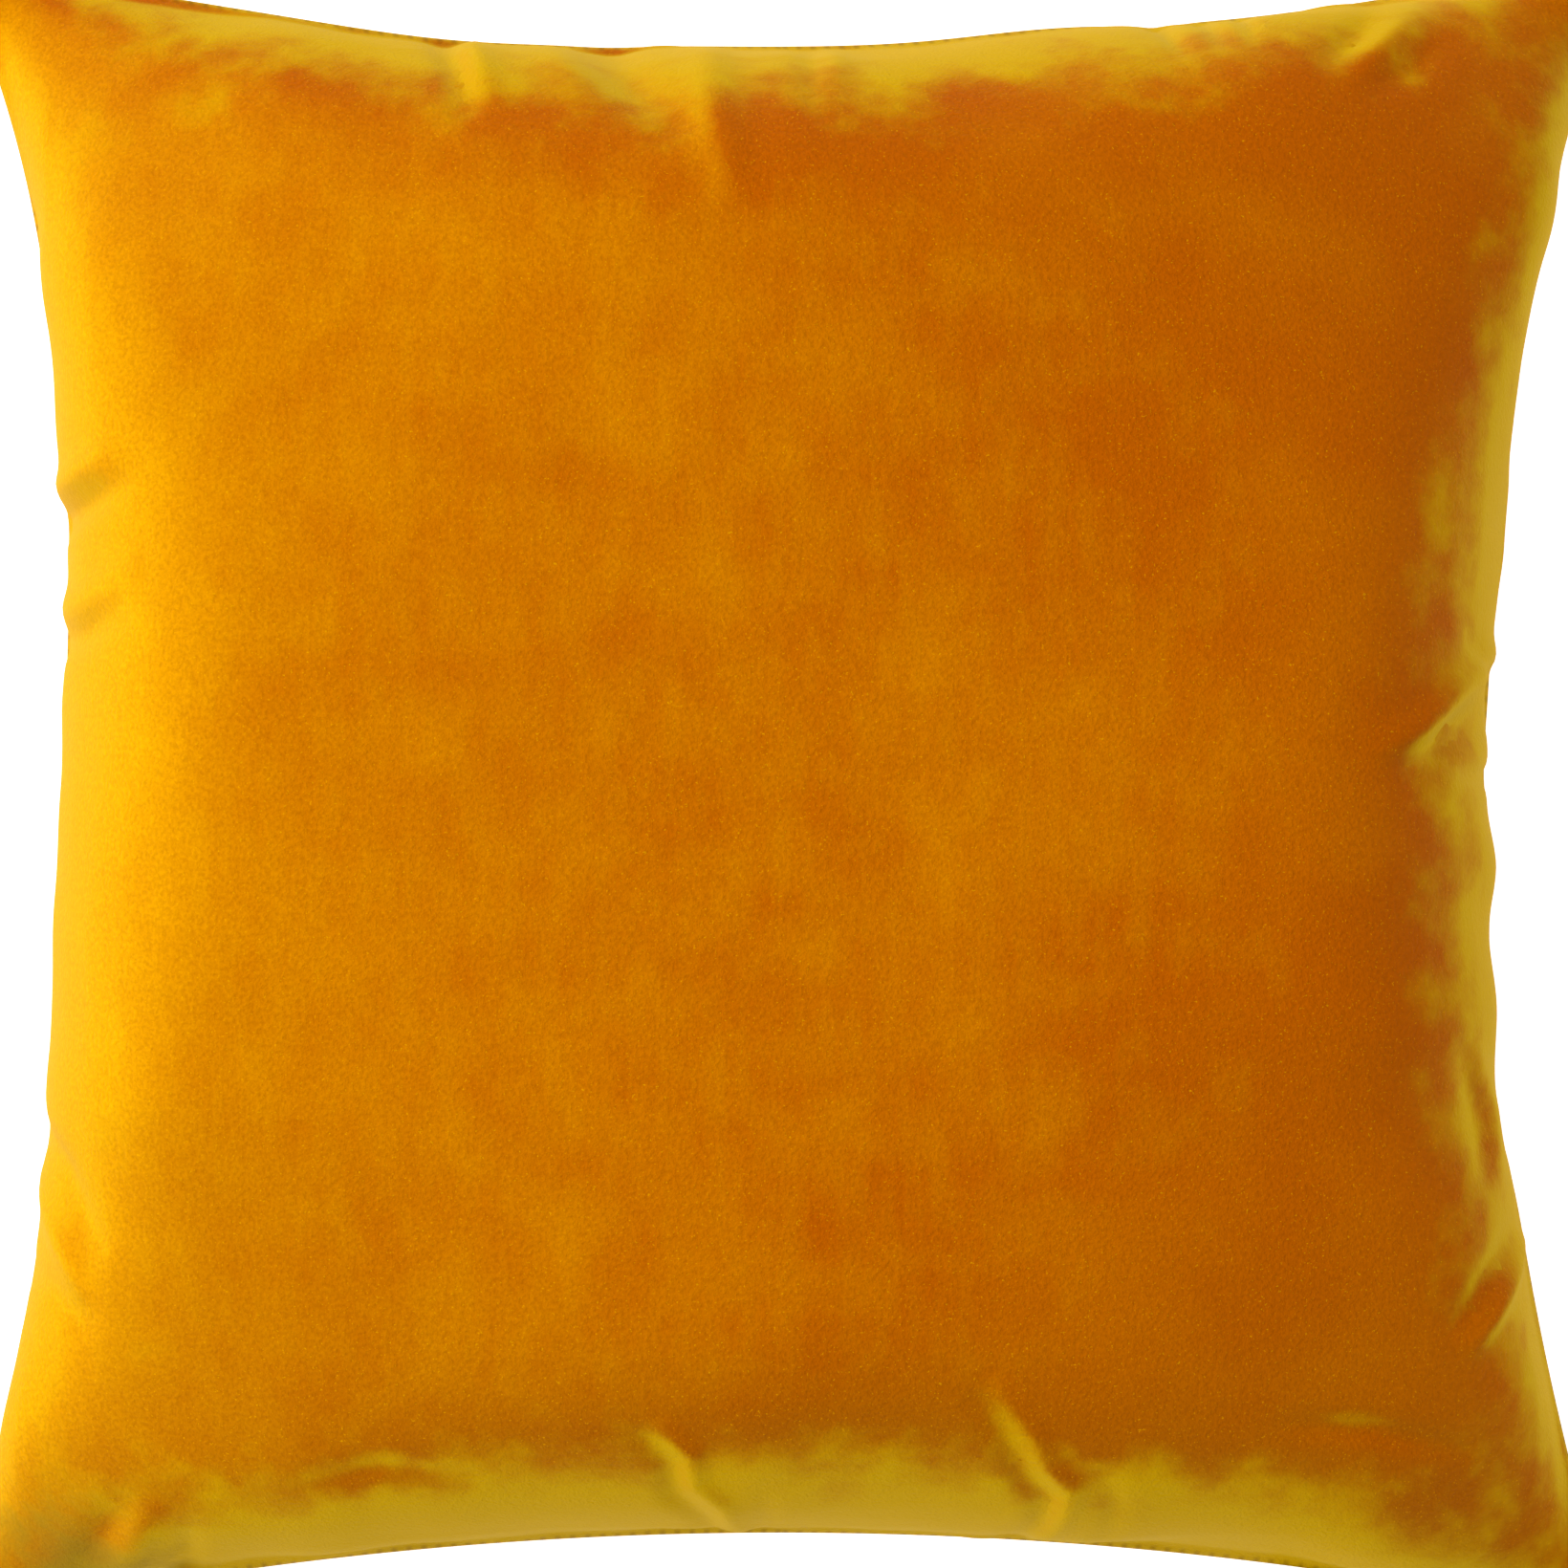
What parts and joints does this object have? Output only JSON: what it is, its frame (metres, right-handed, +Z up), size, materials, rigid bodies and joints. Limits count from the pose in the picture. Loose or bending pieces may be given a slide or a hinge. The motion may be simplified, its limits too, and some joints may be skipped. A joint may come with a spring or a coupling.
{
  "type": "throw pillow",
  "caption": "Square knife-edge throw pillow: zipped velvet cover over a stuffed insert, with a concealed zip that slides and a swinging pull tab.",
  "frame": {"origin": "on the surface the pillow lies on, under the middle of its outline", "axes": "+Z up through the pillow's thickness, out of the front panel; +X to the front panel's right; +Y towards the seam opposite the zip, so the zip runs along the -Y seam"},
  "size_m": [0.435, 0.435, 0.155],
  "materials": {
    "velvet": "silky cotton velvet pile, mustard gold",
    "thread": "spun polyester thread, mustard",
    "white_thread": "spun polyester thread, natural white",
    "zip_tape": "knitted polyester tape, mustard",
    "zip_coil": "dyed nylon monofilament",
    "zip_metal": "enamelled zinc die casting, mustard",
    "ticking": "plain-woven white cotton",
    "filling": "siliconised polyester fibre, loose",
    "label": "white satin ribbon, blank"
  },
  "bodies": {
    "cushion": {"front_panel": "velvet", "back_panel": "velvet", "seam_needle_thread": "thread", "seam_bobbin_thread": "thread", "zip_tape_front": "zip_tape", "zip_tape_back": "zip_tape", "zip_coil_front": "zip_coil", "zip_coil_back": "zip_coil", "zip_stitch_front": "thread", "zip_stitch_back": "thread", "zip_top_stop_front": "zip_metal", "zip_top_stop_back": "zip_metal", "zip_bottom_stop": "zip_metal", "care_label": "label", "insert_casing_front": "ticking", "insert_casing_back": "ticking", "insert_seam_thread": "white_thread", "insert_closing_stitch": "white_thread", "insert_label": "label", "fill_core": "filling"},
    "slider": {"zip_slider_body": "zip_metal"},
    "pull_tab": {"zip_pull_tab": "zip_metal"}
  },
  "joints": [
    {"name": "zip_travel", "type": "hinge", "parent": "cushion", "child": "slider", "pos_m": [0, -1.21227, 0.07], "axis": [0, 0, 1], "range_deg": [0, 16.2]},
    {"name": "pull_tab_swing", "type": "hinge", "parent": "slider", "child": "pull_tab", "pos_m": [0.14764, -0.20748, 0.07], "axis": [0, 0, 1], "range_deg": [0, 175]}
  ]
}
